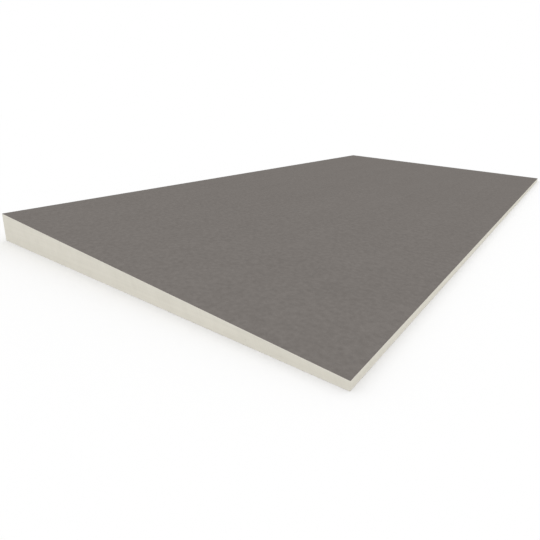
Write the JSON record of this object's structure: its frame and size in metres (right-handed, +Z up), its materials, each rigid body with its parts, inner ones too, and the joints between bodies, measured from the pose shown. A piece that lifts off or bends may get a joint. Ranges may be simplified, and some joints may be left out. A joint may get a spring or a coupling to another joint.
{
  "type": "tapered polyiso insulation board",
  "caption": "Wedge-shaped rigid foam roof insulation board with grey felt facers on its sloping top and flat underside.",
  "frame": {"origin": "middle of the flat underside, on the floor that the board lies on", "axes": "+X down the slope, from the high long edge to the low long edge; +Y along the board; +Z up"},
  "size_m": [1.2192, 2.4384, 0.0889],
  "materials": {
    "foam": "cream closed-cell polyisocyanurate foam, saw-cut sides",
    "facer": "mid grey matt glass-fibre reinforced felt"
  },
  "bodies": {
    "root": {"foam_core": "foam", "top_facer": "facer", "bottom_facer": "facer"}
  },
  "joints": []
}
